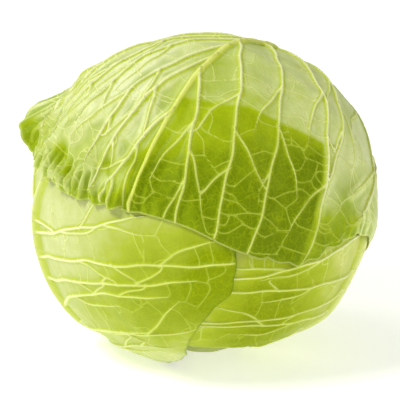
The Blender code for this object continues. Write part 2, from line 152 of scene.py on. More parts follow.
def apply_finish(material, colour, roughness, height, depth, **more):
    """Feed the shader its colour, roughness and a relief that is depth millimetres deep."""
    tree = material.node_tree
    shader = tree.nodes["Principled BSDF"]
    relief = Wire(tree).node("Bump", {}, {"Strength": 1.0, "Distance": depth * METRES,
                                          "Height": height})
    fed = {"Base Color": colour, "Roughness": roughness, "Normal": relief, **more}
    for socket, wire in fed.items():
        tree.links.new(wire.socket, shader.inputs[socket])


def mesh_from(bm, name):
    """The shape that was built, as a mesh."""
    mesh = bpy.data.meshes.new(name)
    bm.to_mesh(mesh)
    bm.free()
    return mesh


def new_object(name, data):
    """A mesh, a camera or a lamp put into the scene."""
    made = bpy.data.objects.new(name, data)
    bpy.context.scene.collection.objects.link(made)
    return made


def finished_piece(name, mesh, material, node):
    """A smooth piece that stands for a node of the frame."""
    mesh.polygons.foreach_set("use_smooth", np.ones(len(mesh.polygons), bool))
    mesh.materials.append(material)
    piece = new_object(name, mesh)
    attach(piece, "root")
    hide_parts(node)


bm = bmesh.new()
profile = [bm.verts.new((r, 0, z)) for r, z in STEM_PROFILE]
rings = [bm.edges.new(pair) for pair in zip(profile, profile[1:])]
bmesh.ops.subdivide_edges(bm, edges=rings, cuts=2)
bmesh.ops.spin(bm, geom=bm.verts[:] + bm.edges[:], cent=(0, 0, 0), axis=(0, 0, 1),
               angle=2 * math.pi, steps=STEM_SIDES, use_merge=True)
bmesh.ops.remove_doubles(bm, verts=bm.verts, dist=1e-3)
for v in bm.verts:
    r = math.hypot(v.co.x, v.co.y)
    azimuth = math.atan2(v.co.y, v.co.x)
    uneven = STEM_GROOVES * azimuth + 0.8 * math.sin(azimuth)
    groove = STEM_GROOVE_DEPTH * (0.5 - 0.5 * math.cos(uneven))
    fibre = STEM_FIBRE_DEPTH * noise.noise(Vector((azimuth * STEM_FIBRES, 0, v.co.z * 0.3)))
    share = min(1.0, max(0.0, (r - STEM_FACE_RADIUS) / STEM_FACE_FADE))
    v.co.xy *= 1 - share * (groove - fibre) / max(r, 1)
bmesh.ops.scale(bm, vec=(METRES,) * 3, verts=bm.verts)
bmesh.ops.recalc_face_normals(bm, faces=bm.faces)
stem_mesh = mesh_from(bm, "cut_stem")

FLESH = linear(232, 236, 198)
SHADED_FLESH = linear(216, 222, 168)
VESSELS = linear(196, 204, 132)
CELL_WALLS = linear(188, 188, 140)
STEM_SKIN = linear(190, 203, 112)
DRIED_RIM = linear(176, 160, 98)
stem_finish, wire = new_finish("pale_stalk", Metallic=0.0, Subsurface_Weight=0.1,
                               Subsurface_Scale=0.003)
flattened = wire.node("VectorMath", {"operation": "MULTIPLY"},
                      {0: wire.place(), 1: (1 / METRES, 1 / METRES, 0)})
from_middle = wire.node("VectorMath", {"operation": "LENGTH"}, {0: flattened}, out="Value")
wobble = wire.cloud(5) * 2.4 - 1.2
wavy, nearly_round = from_middle + wobble, from_middle + wobble * 0.3
ring = wavy.step(*VESSELS_COME_IN) * wavy.step(*VESSELS_GO_OUT)
rim = nearly_round.step(*RIM_COMES_IN) * from_middle.step(*RIM_GOES_OUT)
cells = wire.node("TexVoronoi", {}, {"Vector": wire.place(), "Scale": 900.0}, out="Distance")
colour = wire.cloud(9).blend(FLESH, SHADED_FLESH)
colour = (ring * 0.55).blend(colour, VESSELS)
colour = (cells.step(0.5, 0.2) * 0.2).blend(colour, CELL_WALLS)
colour = nearly_round.step(*SKIN_COMES_IN).blend(colour, STEM_SKIN)
colour = (rim * 0.5).blend(colour, DRIED_RIM)
apply_finish(stem_finish, colour, wire.cloud(4) * 0.2 + 0.42,
             cells * 0.6 + ring * 0.5 + wire.cloud(1.5), depth=0.12)
finished_piece("cut_stem", stem_mesh, stem_finish, "stem")

# ---------------------------------------------------------------------------------------------
# Heart
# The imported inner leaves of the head, pale and tightly lapped. They show only between the bases
# of the wrapper leaves, where thick white ribs run from the stem and each lap ends in a step.

CENTRE_HEIGHT = 75.0
HALF_WIDTH = 80.5
HALF_HEIGHT = 77.0
# The underside is flatter by this share, from this far south on and fully after the span.
UNDERSIDE_FLATTENING = 0.085
UNDERSIDE_START = 38.0
UNDERSIDE_SPAN = 35.0
LEAF_BASE_HEIGHT = 6.0
# Broad swells of the head: latitude, azimuth, spread and height.
SWELLS = [(-36, 192, 24, 3.0), (-58, 220, 20, 3.5), (5, 180, 20, 2.0), (-64, 280, 15, -3.0),
          (-22, 350, 13, -2.5), (35, 10, 20, 1.5), (79, 90, 22, -4.5), (60, 150, 16, 1.0)]
HEART_GAP = 0.4
# The ribs and laps start this far south, where the heart leaves the stem, and grow over the fade.
HEART_BASE = 84.0
HEART_BASE_FADE = 8.0
HEART_RIBS = 8
HEART_RIB_WIDTH = 5.0
HEART_RIB_HEIGHT = 2.2
HEART_FIRST_RIB = 20.0
HEART_LAPS = 5
HEART_LAP_STEP = 1.3
HEART_LAP_TWIST = 30.0
HEART_GRAIN = 0.25
HEART_SEGMENTS = 240
HEART_RINGS = 110


def smooth(x):
    """0 below 0, 1 above 1 and an even rise between."""
    x = np.clip(x, 0.0, 1.0)
    return x * x * (3.0 - 2.0 * x)


def unit(v):
    return v / np.linalg.norm(v, axis=-1, keepdims=True)


def heading_to(latitude, azimuth):
    """The direction of a place from the head's centre."""
    lat, az = math.radians(latitude), math.radians(azimuth)
    return np.array([math.cos(lat) * math.cos(az), math.cos(lat) * math.sin(az), math.sin(lat)])


def latitude_of(d):
    return np.degrees(np.arcsin(np.clip(d[:, 2], -1, 1)))


def angle_from(place, d):
    return np.degrees(np.arccos(np.clip(d @ place, -1, 1)))


def laid_round(middle, tip, side, angle, turn):
    """Directions at an angle from the middle, turned from the tip to the side, in radians."""
    return (np.cos(angle)[:, None] * middle + (np.sin(angle) * np.cos(turn))[:, None] * tip
            + (np.sin(angle) * np.sin(turn))[:, None] * side)


def spots(d, rows):
    """Sum of round spots on the head, each with its latitude, azimuth, spread and height."""
    total = np.zeros(len(d))
    for latitude, azimuth, spread, height in rows:
        angle = angle_from(heading_to(latitude, azimuth), d)
        total += height * np.exp(-(angle / spread) ** 2)
    return total


def head_radius(d):
    """Distance from the centre to the surface that the wrapper leaves lie on."""
    level = (d[:, 0] ** 2 + d[:, 1] ** 2) / HALF_WIDTH ** 2
    r = 1.0 / np.sqrt(level + d[:, 2] ** 2 / HALF_HEIGHT ** 2)
    south = -latitude_of(d)
    r *= 1.0 - UNDERSIDE_FLATTENING * smooth((south - UNDERSIDE_START) / UNDERSIDE_SPAN)
    to_bases = (CENTRE_HEIGHT - LEAF_BASE_HEIGHT) / np.maximum(-d[:, 2], 1e-6)
    return np.minimum(r + spots(d, SWELLS), to_bases)


def clouds(d, size, seed=0.0):
    """Smooth noise from -1 to 1 on the head, with bumps of that size in millimetres."""
    scale = HALF_WIDTH / size
    return np.array([noise.noise((x * scale + seed, y * scale, z * scale)) for x, y, z in d])


def places_of(mesh):
    """The mesh's points, one a row."""
    flat = np.empty(len(mesh.vertices) * 3)
    mesh.vertices.foreach_get("co", flat)
    return flat.reshape(-1, 3)


def set_places(mesh, places):
    """Put the mesh's points at these places, given from the head's centre."""
    mesh.vertices.foreach_set("co", ((places + (0, 0, CENTRE_HEIGHT)) * METRES).ravel())
    mesh.update()


def store(mesh, name, values):
    """Keep a number for each of the mesh's points, for a material to read."""
    mesh.attributes.new(name, "FLOAT", "POINT").data.foreach_set("value", values.astype(np.float32))


bm = bmesh.new()
bmesh.ops.create_uvsphere(bm, u_segments=HEART_SEGMENTS, v_segments=HEART_RINGS, radius=1.0)
heart_mesh = mesh_from(bm, "packed_heart")
d = unit(places_of(heart_mesh))
latitude = latitude_of(d)
azimuth = np.degrees(np.arctan2(d[:, 1], d[:, 0]))
from_stem = smooth((latitude + HEART_BASE) / HEART_BASE_FADE)
apart = 360 / HEART_RIBS
turn = (azimuth - HEART_FIRST_RIB + apart / 2) % apart - apart / 2
across = np.radians(turn) * np.cos(np.radians(latitude)) * HALF_WIDTH
rib = from_stem * smooth((5 - latitude) / 60) * np.exp(-(across / HEART_RIB_WIDTH) ** 2)
apart = 360 / HEART_LAPS
lap = ((azimuth + HEART_LAP_TWIST * np.sin(np.radians(latitude))) % apart) / apart
laps = HEART_LAP_STEP * (1 - lap) * smooth((HEART_BASE - np.abs(latitude)) / 30)
sunk = (HEART_RIB_HEIGHT + HEART_LAP_STEP - HEART_RIB_HEIGHT * rib - laps) * from_stem
grain = HEART_GRAIN * clouds(d, 7.0, seed=5.0) - HEART_GRAIN
set_places(heart_mesh, d * (head_radius(d) - HEART_GAP - sunk + grain)[:, None])
store(heart_mesh, "rib", rib)
store(heart_mesh, "lap", lap)

HEART_COLOUR = linear(214, 222, 128)
GREENER_HEART = linear(190, 205, 92)
HEART_THREADS = linear(232, 236, 178)
HEART_RIB_COLOUR = linear(236, 239, 196)
LAP_SHADE = linear(160, 178, 60)
heart_finish, wire = new_finish("pale_heart", Metallic=0.0, Subsurface_Weight=0.15,
                                Subsurface_Scale=0.004)
threads = wire.node("TexVoronoi", {"feature": "DISTANCE_TO_EDGE"},
                    {"Vector": wire.place(), "Scale": 160.0}).step(0.06, 0.01)
colour = wire.cloud(16).blend(HEART_COLOUR, GREENER_HEART)
colour = (threads * 0.4).blend(colour, HEART_THREADS)
colour = wire.value("rib").step(0.25, 0.85).blend(colour, HEART_RIB_COLOUR)
colour = (wire.value("lap").step(0.93, 1.0) * 0.4).blend(colour, LAP_SHADE)
apply_finish(heart_finish, colour, wire.cloud(6) * 0.15 + 0.4, threads + wire.cloud(3), depth=0.25)
finished_piece("packed_heart", heart_mesh, heart_finish, "heart")

# ---------------------------------------------------------------------------------------------
# Veins and margins of the wrapper leaves
# Each leaf grew from the stem as one blade. A thick midrib runs up its back, side veins sweep
# from it and fork, and short branchlets join them into a net. The margin is thin and wavy.

# Each midrib starts this far round from the foot of the head. It is drawn past every leaf's tip,
# and what lies nearer to the leaf's edge than the gap is cut off.
STEM_ANGLE = 14.0
PAST_TIP = 130.0
MIDRIB_EDGE_GAP = 1.0
# The midrib's width and height by its share of the way from the stem to the leaf's tip.
MIDRIB_WIDTH = [(0.0, 14.0), (0.15, 11.5), (0.35, 8.4), (0.55, 6.0), (0.7, 4.4), (0.85, 2.8),
                (1.0, 1.6)]
MIDRIB_HEIGHT = [(0.0, 3.2), (0.15, 3.1), (0.35, 2.5), (0.55, 2.0), (0.7, 1.6), (0.85, 1.1),
                 (1.0, 0.5)]
# Width and height of a side vein and of a fork, at its start and at its end.
VEIN_WIDTH = (3.0, 1.9)
VEIN_HEIGHT = (1.0, 0.6)
FORK_WIDTH = (2.1, 1.5)
FORK_HEIGHT = (0.7, 0.45)
# Lines grow in steps of this length.
STEP = 1.0
# How far side veins and forks sway from an even curve, in a long and a short wave.
VEIN_SWAY = 5.0
FORK_SWAY = 7.0
LONG_WAVE = 5.5
SHORT_WAVE = 2.6
# A vein stops this far from the leaf's edge, or this far in under another leaf, where it is hidden.
EDGE_GAP = 1.2
COVERED_DEPTH = 12.0
# A vein may meet another one after this length, and joins one that it comes this close to.
FREE_LENGTH = 6.0
MEETING = 1.6
# A fork's angle and length vary by this much, and this share of its angle is left at its end.
FORK_ANGLE_SPREAD = 8.0
FORK_LENGTH_SPREAD = 6.0
FORK_LAST_ANGLE = 0.35
# In steps: the shortest vein and branchlet kept, the shortest vein that forks, the shortest with
# forks of full length, and how far before its end a vein and a branchlet start to thin out.
SHORTEST_VEIN = 9
SHORTEST_TWIG = 7
SHORTEST_FORKED = 30
FULLY_FORKED = 80
VEIN_THINS_OUT = 14
TWIG_THINS_OUT = 8
# A branchlet's width and height at its end, how much they gain with the steps that it feeds, and
# the most of those that count.
TWIG_WIDTH = 0.8, 0.13
TWIG_HEIGHT = 0.1, 0.04
MOST_FED = 80
# How firmly a branchlet keeps its heading, how near its steps may lie to each other, how far from
# its end it may join a line, and how straight ahead that line has to be.
TWIG_INERTIA = 1.0
TWIG_CLEARANCE = 0.58
TWIG_JOIN = 11.0
TWIG_AHEAD = 0.35
# Open places draw the branchlets: how far apart and how scattered they are where the net is
# closest, how far inside the edge, and how near a branchlet has to come to serve one.
CLOSEST = 3.3
PLACE_SCATTER = 0.4
PLACE_EDGE_GAP = 1.5
SERVED = 2.3
GROWING_STEPS = 90
# How far in from the margin its waves and its creases reach.
RUFFLE_DEPTH = 14.0
CREASE_DEPTH = 9.0


def through(knots, x, period=None):
    """A smooth curve through pairs of position and value, repeated after each period."""
    table = np.array(knots, float)
    at, value = table[:, 0], table[:, 1]
    if period:
        at = np.concatenate([at - period, at, at + period])
        value = np.tile(value, 3)
    else:
        x = np.clip(x, at[0], at[-1])
    slope = np.gradient(value, at)
    i = np.clip(np.searchsorted(at, x) - 1, 0, len(at) - 2)
    width = at[i + 1] - at[i]
    t = (x - at[i]) / width
    return ((1 + 2 * t) * (1 - t) ** 2 * value[i] + t * (1 - t) ** 2 * width * slope[i]
            + t * t * (3 - 2 * t) * value[i + 1] + t * t * (t - 1) * width * slope[i + 1])


def between(bearing, start, end):
    """1 on the bearings from start to end, fading over the last few degrees at each of them."""
    inside = ((bearing - start) % 360) < ((end - start) % 360)
    return inside * smooth(((bearing - start) % 360) / 10) * smooth(((end - bearing) % 360) / 10)


def tree_of(points):
    """Points on the head, as directions, made ready for finding the nearest one."""
    tree = KDTree(len(points))
    for i, p in enumerate(points):
        tree.insert(p, i)
    tree.balance()
    return tree


def nearest(tree, d):
    """Distance in millimetres along the head, and index, of the nearest point of a tree."""
    found = [tree.find(p) for p in d]
    return np.array([f[2] for f in found]) * HALF_WIDTH, np.array([f[1] for f in found], int)


def evened(line):
    """The line without its small kinks, with its ends kept."""
    for _ in range(4):
        line = np.concatenate([line[:1], (line[:-2] + 2 * line[1:-1] + line[2:]) / 4, line[-1:]])
    return unit(line)


class Leaf:
    """One wrapper leaf: its outline, its midrib and the veins that grow from it.

    It grows up from its base, at an azimuth, and is laid out round its middle, a place that is
    given in degrees from the crown toward the tip. A bearing is an angle round that middle, from
    the tip on. The rows hold:
    reach: bearing, and distance of the edge in degrees
    bow: angle from the crown along the midrib, and the midrib's angle off its plane
    veins: place on the midrib, side, angle to the midrib at first and at last, and length
    forks: share of the side vein, side, angle to it, and length
    waves: count round the edge, depth, rise, and the bearings between which they lie
    lifts: bearing, half width, distance where it starts, rise and power of a raised corner
    crowded: spots where the net is closer. Elsewhere gap is the distance between its places."""

    def __init__(self, base_azimuth, middle, reach, bow, veins, forks, waves, lifts, covers, seed,
                 gap, crowded=()):
        self.rng = random.Random(seed)
        self.covers = covers
        turn = math.radians(base_azimuth + 180)
        self.forward = np.array([math.cos(turn), math.sin(turn), 0.0])
        self.side = np.cross(self.forward, (0, 0, 1))
        m = math.radians(middle)
        self.middle = np.array([0, 0, math.cos(m)]) + math.sin(m) * self.forward
        self.tip = np.array([0, 0, -math.sin(m)]) + math.cos(m) * self.forward
        self.reach, self.bow, self.waves, self.lifts = reach, bow, waves, lifts
        bearings = np.arange(0, 360, 0.5)
        self.rim_tree = tree_of(self.place(self.margin(bearings), bearings))
        self.grow(veins, forks)
        self.thin_out(self.lines[1:], VEIN_THINS_OUT)
        larger = len(self.lines)
        self.spread(gap, crowded)
        self.thin_out(self.lines[larger:], TWIG_THINS_OUT)
        self.lines = [(evened(line), *more) for line, *more in self.lines]
        self.trees = []
        for order in range(4):
            same = [line for line in self.lines if line[3] == order]
            points, widths, heights = (np.concatenate([line[k] for line in same]) for k in range(3))
            onward = np.concatenate([unit(np.gradient(line[0], axis=0)) for line in same])
            self.trees.append((tree_of(points), points, onward, widths, heights))

    def place(self, distance, bearing):
        """Directions from the head's centre at a distance and bearing from the leaf's middle."""
        return laid_round(self.middle, self.tip, self.side, np.radians(distance),
                          np.radians(bearing))

    def polar(self, d):
        """Distance and bearing, from the leaf's middle, of directions from the head's centre."""
        bearing = np.degrees(np.arctan2(d @ self.side, d @ self.tip))
        return angle_from(self.middle, d), bearing

    def margin(self, bearing):
        """Distance of the leaf's edge on a bearing, with its scallops and waves."""
        edge = through(self.reach, np.asarray(bearing, float) % 360, 360)
        b = np.radians(bearing)
        for count, depth, _, start, end in self.waves:
            wave = np.abs(np.sin(b * count / 2)) - 0.6 + 0.3 * np.sin(b * count * 0.37)
            edge = edge + depth * between(bearing, start, end) * wave
        return edge

    def inside(self, d):
        """Distance in millimetres to the edge, negative beyond it."""
        distance, bearing = self.polar(d)
        away, _ = nearest(self.rim_tree, d)
        return np.where(distance < self.margin(bearing), away, -away)

    def covered(self, d):
        """True where another leaf lies over this one, well inside that leaf's edge."""
        hidden = np.zeros(len(d), bool)
        for leaf in self.covers:
            hidden |= leaf.inside(d) > COVERED_DEPTH
        return hidden

    def midrib_at(self, along):
        """Point of the midrib, an angle from the crown toward the tip, negative toward the base."""
        psi = np.radians(along)
        off = np.radians(through(self.bow, along))
        return ((np.cos(off) * np.cos(psi))[:, None] * np.array([0, 0, 1.0])
                + (np.cos(off) * np.sin(psi))[:, None] * self.forward
                + np.sin(off)[:, None] * self.side)

    def walk(self, start, ahead, turn_from, turn_to, length, side, sway, others):
        """A vein on the sphere, with p its last point and h its heading there. It starts at an
        angle to the way ahead, turns evenly, sways, and stops at the leaf's edge, under another
        leaf or where it meets another vein."""
        heading = unit(ahead - start * (ahead @ start))
        p = start
        across = np.cross(heading, p)
        flip = 1.0 if across @ self.side > 0 else -1.0
        a = math.radians(turn_from)
        h = unit(math.cos(a) * heading + side * flip * math.sin(a) * across)
        count = max(2, int(length / STEP))
        bend = math.radians(turn_to - turn_from) / count * side
        phase = [self.rng.uniform(0, 2 * math.pi) for _ in range(2)]
        s = STEP / HALF_WIDTH
        points = [p]
        for i in range(count):
            p, h = unit(math.cos(s) * p + math.sin(s) * h), unit(math.cos(s) * h - math.sin(s) * p)
            at = i * STEP
            wave = (math.cos(at / LONG_WAVE + phase[0]) / LONG_WAVE
                    + 0.8 * math.cos(at / SHORT_WAVE + phase[1]) / SHORT_WAVE)
            turn = bend + math.radians(sway) * wave
            left = np.cross(h, p) * flip
            h = unit(math.cos(turn) * h + math.sin(turn) * left)
            if self.inside(p[None])[0] < EDGE_GAP or self.covered(p[None])[0]:
                break
            points.append(p)
            if others is not None and at > FREE_LENGTH:
                met, _, away = others.find(p)
                if away * HALF_WIDTH < MEETING:
                    points.append(unit(np.array(met)))
                    break
        return np.array(points)

    def tree_without(self, line):
        """The points of all lines but one."""
        return tree_of(np.concatenate([other[0] for other in self.lines if other[0] is not line]))

    def keep(self, line, width, height, order):
        """Add a line with its width and height at its start and at its end."""
        count = len(line)
        self.lines.append((line, np.linspace(*width, count), np.linspace(*height, count), order))

    def grow(self, veins, forks):
        """The midrib, the side veins that leave it and the forks that leave those."""
        along = np.arange(-180 + STEM_ANGLE, PAST_TIP, math.degrees(STEP / HALF_WIDTH))
        rib = self.midrib_at(along)
        rib = rib[self.inside(rib) > MIDRIB_EDGE_GAP]
        run = np.linspace(0, 1, len(rib))
        self.lines = [(rib, through(MIDRIB_WIDTH, run), through(MIDRIB_HEIGHT, run), 0)]
        parents = []
        for psi, side, turn_from, turn_to, length in veins:
            here, ahead = self.midrib_at(np.array([psi, psi + 0.4]))
            others = self.tree_without(rib) if parents else None
            line = self.walk(here, ahead, turn_from, turn_to, length, side, VEIN_SWAY, others)
            if len(line) >= SHORTEST_VEIN:
                parents.append((line, side))
                self.keep(line, VEIN_WIDTH, VEIN_HEIGHT, 1)
        for line, side in parents:
            for share, fork_side, angle, length in forks:
                i = int(share * (len(line) - 1))
                if len(line) < SHORTEST_FORKED or i + 2 >= len(line):
                    continue
                angle = angle + self.rng.uniform(-FORK_ANGLE_SPREAD, FORK_ANGLE_SPREAD)
                length = length + self.rng.uniform(-FORK_LENGTH_SPREAD, FORK_LENGTH_SPREAD)
                length = length * min(1.0, len(line) / FULLY_FORKED)
                fork = self.walk(line[i], line[i + 2], angle, angle * FORK_LAST_ANGLE, length,
                                 side * fork_side, FORK_SWAY, self.tree_without(line))
                if len(fork) > SHORTEST_VEIN:
                    self.keep(fork, FORK_WIDTH, FORK_HEIGHT, 2)

    def thin_out(self, lines, count):
        """Lines that end free on the blade run out thin and low over their last steps."""
        for line, widths, heights, _ in lines:
            to_others = self.tree_without(line).find(line[-1])[2] * HALF_WIDTH
            if self.inside(line[-1:])[0] > 3 and to_others > 1:
                widths[-count:] *= np.linspace(1, 0.4, len(widths[-count:]))
                heights[-count:] *= np.linspace(1, 0.5, len(heights[-count:]))

    def open_places(self, gap, crowded):
        """Places scattered evenly over the part of the blade that shows."""
        count = int(4 * math.pi * (HALF_WIDTH / CLOSEST) ** 2)
        z = 1 - (2 * np.arange(count) + 1) / count
        turn = np.arange(count) * math.pi * (3 - math.sqrt(5))
        ring = np.sqrt(1 - z * z)
        shift = np.array([[self.rng.uniform(-PLACE_SCATTER, PLACE_SCATTER) for _ in range(3)]
                          for _ in range(count)])
        even = np.stack([ring * np.cos(turn), ring * np.sin(turn), z], 1)
        places = unit(even + shift * CLOSEST / HALF_WIDTH)
        drawn = np.array([self.rng.uniform(0, 1) for _ in range(count)])
        places = places[drawn < (CLOSEST / gap) ** 2 + spots(places, crowded)]
        places = places[self.inside(places) > PLACE_EDGE_GAP]
        return places[~self.covered(places)]

    def spread(self, gap, crowded):
        """Branchlets grow step by step toward the open places of the blade and fork on their way.
        A place no longer draws them once it is served, and most of their ends join a neighbour."""
        places = self.open_places(gap, crowded)
        points = [p for line in self.lines for p in line[0]]
        onward = [h for line in self.lines for h in unit(np.gradient(line[0], axis=0))]
        old = len(points)
        parent = list(range(old))
        for _ in range(GROWING_STEPS):
            tree = tree_of(points)
            away, near = nearest(tree, places)
            places, near = places[away > SERVED], near[away > SERVED]
            pulls = {}
            for place, i in zip(places, near):
                pulls[i] = pulls.get(i, 0) + unit(place - points[i])
            for i, pull in pulls.items():
                h = pull + TWIG_INERTIA * onward[i]
                h = unit(h - (h @ points[i]) * points[i])
                step = unit(points[i] + h * STEP / HALF_WIDTH)
                if tree.find(step)[2] * HALF_WIDTH > TWIG_CLEARANCE * STEP:
                    points.append(step)
                    onward.append(h)
                    parent.append(i)
            if not pulls:
                break
        feeds = np.zeros(len(points))
        for i in range(len(points) - 1, old - 1, -1):
            feeds[i] += 1
            feeds[parent[i]] += feeds[i]
        chains, end_of = [], {}
        for i in range(old, len(points)):
            if parent[i] in end_of:
                chain = end_of.pop(parent[i])
            else:
                chain = [parent[i]]
                chains.append(chain)
            chain.append(i)
            end_of[i] = chain
        tree = tree_of(points)
        for chain in chains:
            self.keep_twig(chain, points, onward, tree, feeds)

    def keep_twig(self, chain, points, onward, tree, feeds):
        """One branchlet, led on to the nearest line ahead of its end."""
        line = [points[i] for i in chain]
        size = np.sqrt(np.minimum(feeds[chain[1:]], MOST_FED))
        size = np.concatenate([size[:1], size])
        end = chain[-1]
        found = tree.find_range(points[end], TWIG_JOIN / HALF_WIDTH)
        for _, i, away in sorted(found, key=lambda one: one[2]):
            ahead = unit(points[i] - points[end] + 1e-9) @ onward[end]
            if i not in chain[-9:] and ahead > TWIG_AHEAD:
                more = int(away * HALF_WIDTH / STEP) + 1
                shares = np.linspace(0, 1, more + 1)[1:, None]
                line.extend(unit(line[-1] * (1 - shares) + points[i] * shares))
                size = np.concatenate([size, np.full(more, size[-1])])
                break
        if len(line) > SHORTEST_TWIG:
            self.lines.append((np.array(line), TWIG_WIDTH[0] + TWIG_WIDTH[1] * size,
                               TWIG_HEIGHT[0] + TWIG_HEIGHT[1] * size, 3))

    def beside(self, order, d):
        """Distance from the nearest line of an order (0 the midrib, 1 side veins, 2 forks and 3
        branchlets), negative on its right as it runs from its start, and its width and height."""
        tree, points, onward, widths, heights = self.trees[order]
        _, i = nearest(tree, d)
        gap = (d - points[i]) * HALF_WIDTH
        across = np.sum(gap * np.cross(onward[i], points[i]), axis=1)
        beyond = np.maximum(np.abs(np.sum(gap * onward[i], axis=1)) - 0.55 * STEP, 0)
        return np.hypot(across, beyond) * np.where(across < 0, -1, 1), widths[i], heights[i]

    def swell(self, d):
        """Broad rise that this leaf's midrib makes in the leaves over it."""
        away, width, height = self.beside(0, d)
        return height * np.exp(-(away / (width * 1.3 + 3)) ** 2) * smooth(1 + self.inside(d) / 12)

    def lift(self, d, away):
        """How far the leaf's corners and waved edge stand off the head."""
        distance, bearing = self.polar(d)
        height = np.zeros(len(d))
        for centre, spread, start, rise, power in self.lifts:
            off = (bearing - centre + 180) % 360 - 180
            window = smooth(1 - np.abs(off) / spread)
            share = np.clip((distance - start) / (self.margin(bearing) - start), 0, 1.1)
            height += rise * window * share ** power
        for count, _, rise, start, end in self.waves:
            wave = 0.5 + 0.5 * np.sin(np.radians(bearing) * count * 0.8)
            here = rise * between(bearing, start, end)
            height += here * wave * smooth(1 - away / RUFFLE_DEPTH)
            crease = np.abs(np.sin(np.radians(bearing) * count * 1.1 + 0.2 * away)) - 0.6
            height += 0.5 * here * crease * smooth(1 - away / CREASE_DEPTH)
        return height


crown = Leaf(
    base_azimuth=63, middle=0,
    reach=[(0, 77), (15, 77), (30, 76), (45, 73.5), (54, 73), (60, 71), (65, 66.5), (70, 60.5),
           (77, 53.5), (89, 49.5), (102, 56), (115, 70), (130, 92), (145, 118), (158, 145),
           (171, 162), (180, 166), (189, 162), (202, 152), (214, 142), (226, 131), (238, 120),
           (248, 110), (257, 103), (266, 96), (275, 92.5), (285, 93), (300, 96), (312, 93),
           (324, 88), (338, 81), (350, 78)],
    bow=[(-180, 0), (-120, -3), (-60, -9.5), (0, -12.5), (45, -9), (90, 0), (140, 8)],
    veins=[(26, -1, 24, 11, 76), (-1, -1, 33, 28, 118), (-23, -1, 38, 46, 150),
           (-33, -1, 48, 66, 152), (-41, -1, 70, 66, 112), (-52, -1, 78, 70, 118),
           (-68, -1, 66, 84, 125), (-90, -1, 68, 80, 100), (-110, -1, 62, 72, 80),
           (-130, -1, 52, 58, 50), (44, 1, 22, 22, 50), (16, 1, 25, 10, 84), (8, 1, 40, 23, 88),
           (-5, 1, 48, 27, 92), (-17, 1, 46, 36, 120), (-30, 1, 46, 54, 128), (-50, 1, 60, 62, 95),
           (-72, 1, 62, 66, 80), (-94, 1, 64, 66, 70), (-114, 1, 58, 60, 50),
           (-132, 1, 48, 52, 34)],
    forks=[(0.40, -1, 30, 40), (0.58, 1, 34, 34), (0.74, -1, 32, 30)],
    waves=[(52, 1.1, 2.2, 350, 74), (46, 1.2, 0.8, 258, 322), (30, 0.8, 1.2, 74, 258)],
    lifts=[(66.5, 12, 42, 12.0, 2.8), (82, 14, 34, 2.0, 1.5)], covers=[], seed=11, gap=5.5,
    crowded=[(20, 200, 26, 0.8), (5, 180, 20, 0.5)])
left = Leaf(
    base_azimuth=195, middle=-90,
    reach=[(0, 100), (25, 98), (45, 93), (65, 88), (80, 85.5), (96, 85), (104, 83.5), (111, 78.5),
           (120, 75), (130, 73), (142, 74.5), (152, 73.5), (162, 71), (172, 75.5), (180, 76.3),
           (188, 76), (202, 75), (218, 76), (236, 79), (255, 81), (275, 83), (295, 86), (315, 91),
           (335, 97)],
    bow=[(-180, 0), (-130, -2.5), (-100, -1.5), (-85, 1.5), (-72, 7), (-58, 14), (-20, 26),
         (30, 30)],
    veins=[(-74, 1, 52, 46, 80), (-97, 1, 62, 60, 84), (-92, 1, 84, 36, 100),
           (-106, 1, 72, 100, 128), (-114, 1, 80, 108, 104), (-126, 1, 62, 120, 92),
           (-133, 1, 82, 122, 90), (-145, 1, 70, 118, 66), (-60, -1, 50, 44, 70),
           (-76, -1, 58, 54, 84), (-89, -1, 66, 66, 96), (-102, -1, 76, 84, 100),
           (-115, -1, 80, 98, 100), (-127, -1, 78, 108, 92), (-140, -1, 70, 104, 74)],
    forks=[(0.36, 1, 28, 34), (0.55, -1, 32, 36), (0.74, 1, 34, 26)],
    waves=[(40, 0.4, 0.5, 60, 200), (34, 0.8, 0.9, 200, 330)],
    lifts=[(158, 26, 46, 6.5, 1.6)], covers=[crown], seed=23, gap=6.5)
right = Leaf(
    base_azimuth=340, middle=-90,
    reach=[(0, 98), (30, 95), (60, 92), (85, 92), (105, 90), (122, 86), (138, 80), (152, 75),
           (165, 74), (175, 76.3), (184, 76.3), (196, 68), (208, 63), (218, 64.5), (223, 72),
           (227, 80), (233, 86), (244, 93), (262, 99), (285, 99), (310, 97), (335, 98)],
    bow=[(-180, 0), (-120, 1.5), (-85, 1.0), (-60, -3), (-20, -8), (30, -10)],
    veins=[(-64, -1, 58, 50, 80), (-79, -1, 84, 76, 96), (-93, -1, 100, 101, 110),
           (-110, -1, 84, 110, 112), (-118, -1, 90, 124, 108), (-128, -1, 84, 134, 92),
           (-140, -1, 76, 138, 74), (-60, 1, 52, 46, 76), (-75, 1, 60, 56, 90),
           (-89, 1, 70, 68, 104), (-102, 1, 78, 88, 106), (-115, 1, 80, 102, 104),
           (-128, 1, 76, 108, 90), (-141, 1, 68, 104, 70)],
    forks=[(0.42, -1, 30, 34), (0.62, 1, 30, 30)],
    waves=[(44, 0.6, 0.5, 190, 226), (36, 0.7, 0.6, 30, 170)],
    lifts=[(215, 22, 44, 1.6, 1.6)], covers=[crown, left], seed=37, gap=6.5)

# ---------------------------------------------------------------------------------------------
# Right leaf
# The wrapper leaf on the head's right, next to the heart, with its base at the stem. The blade is
# under a millimetre thick, pale yellow-green and waxy, and lies flat under the two other leaves.

# Thickness of the blade and of its margin, and the distance from the edge over which it grows.
BLADE = 0.9
EDGE_BLADE = 0.55
EDGE_FADE = 5.0
# A leaf lifts the ones over it by its layer, which fades out past its edge. At its own edge a leaf
# is pressed onto those below.
LAYER_STEP = 2.9
LAYER_FADE = 20.0
PRESS = 0.9
PRESS_FADE = 9.0
